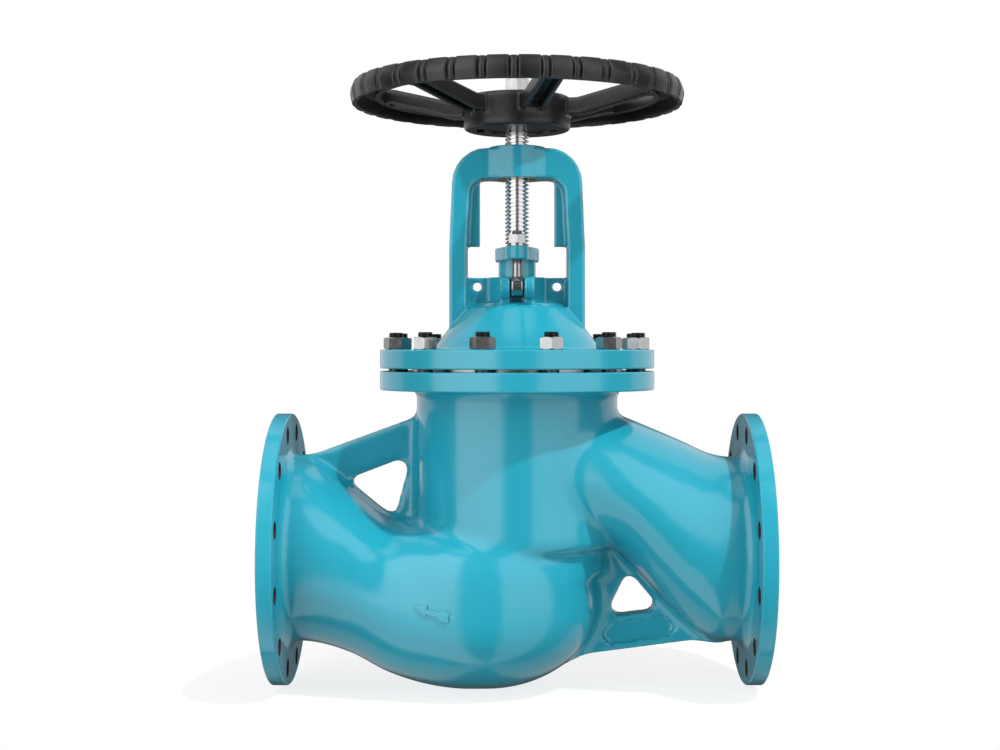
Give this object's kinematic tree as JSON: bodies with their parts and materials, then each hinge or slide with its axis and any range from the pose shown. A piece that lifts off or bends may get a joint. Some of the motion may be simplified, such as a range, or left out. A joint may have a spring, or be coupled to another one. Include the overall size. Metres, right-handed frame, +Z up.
{
  "type": "globe valve",
  "caption": "Flanged straight globe stop valve with bolted bonnet, open yoke, rising threaded stem, swing bolt gland and fluted handwheel.",
  "frame": {"origin": "centre of the inlet flange's sealing face, on the pipe axis", "axes": "+X out of the inlet along the pipe axis, +Z up along the stem towards the handwheel, +Y to the back of the valve when the inlet is on the right"},
  "size_m": [0.73, 0.5012, 0.9243],
  "materials": {
    "teal_paint": "glossy teal enamel over cast steel",
    "black_paint": "satin black coating over cast iron",
    "stem_steel": "turned stainless steel",
    "bright_steel": "bright zinc plated steel",
    "nut_steel": "dark oiled steel with polished flats",
    "dark_steel": "black oxide steel",
    "cast_steel": "machined cast steel",
    "seat_alloy": "hard-faced stainless steel",
    "gasket_metal": "spiral wound steel and graphite",
    "bronze": "machined bronze",
    "packing_graphite": "pressed graphite"
  },
  "bodies": {
    "root": {"body_casting": "teal_paint", "body_seat_ring": "seat_alloy", "bonnet_yoke": "teal_paint", "bonnet_gasket": "gasket_metal", "bonnet_studs": "dark_steel", "bonnet_nuts": "nut_steel", "backseat_bush": "seat_alloy", "yoke_bush": "bronze", "yoke_bush_grub_screw": "dark_steel", "packing_base_ring": "bright_steel", "packing_ring_1": "packing_graphite", "packing_ring_2": "packing_graphite", "packing_ring_3": "packing_graphite", "packing_ring_4": "packing_graphite", "packing_ring_5": "packing_graphite", "packing_ring_6": "packing_graphite", "eye_bolt_front": "bright_steel", "eye_bolt_back": "bright_steel", "eye_bolt_pin_front": "dark_steel", "eye_bolt_pin_back": "dark_steel"},
    "plug": {"plug_disc": "cast_steel", "plug_retaining_nut": "dark_steel", "plug_split_ring": "bright_steel"},
    "stem": {"stem": "stem_steel", "handwheel": "black_paint", "handwheel_key": "dark_steel", "handwheel_washer": "bright_steel", "handwheel_nut": "bright_steel"},
    "gland": {"gland_flange": "teal_paint", "gland_sleeve": "teal_paint", "gland_washer_front": "bright_steel", "gland_washer_back": "bright_steel"},
    "gland_nut_front": {"gland_nut_front": "bright_steel"},
    "gland_nut_back": {"gland_nut_back": "bright_steel"}
  },
  "joints": [
    {"name": "stem_lift", "type": "slide", "parent": "root", "child": "plug", "axis": [0, 0, 1], "range_m": [0, 0.063]},
    {"name": "handwheel_turn", "type": "hinge", "parent": "plug", "child": "stem", "pos_m": [-0.365, 0, 0], "axis": [0, 0, 1], "range_deg": [0, 3780]},
    {"name": "gland_take_up", "type": "slide", "parent": "root", "child": "gland", "axis": [0, 0, -1], "range_m": [0, 0.006], "deforming": ["packing_ring_1", "packing_ring_2", "packing_ring_3", "packing_ring_4", "packing_ring_5", "packing_ring_6"]},
    {"name": "gland_nut_front_turn", "type": "hinge", "parent": "gland", "child": "gland_nut_front", "pos_m": [-0.365, -0.066, 0.461], "axis": [0, 0, 1], "range_deg": [-1080, 0]},
    {"name": "gland_nut_back_turn", "type": "hinge", "parent": "gland", "child": "gland_nut_back", "pos_m": [-0.365, 0.066, 0.461], "axis": [0, 0, 1], "range_deg": [-1080, 0]}
  ],
  "couplings": [
    {"joint": "stem_lift", "follows": "handwheel_turn", "m_per_rad": 0.00095492},
    {"joint": "gland_nut_front_turn", "follows": "gland_take_up", "rad_per_m": -3141.5},
    {"joint": "gland_nut_back_turn", "follows": "gland_take_up", "rad_per_m": -3141.5}
  ]
}
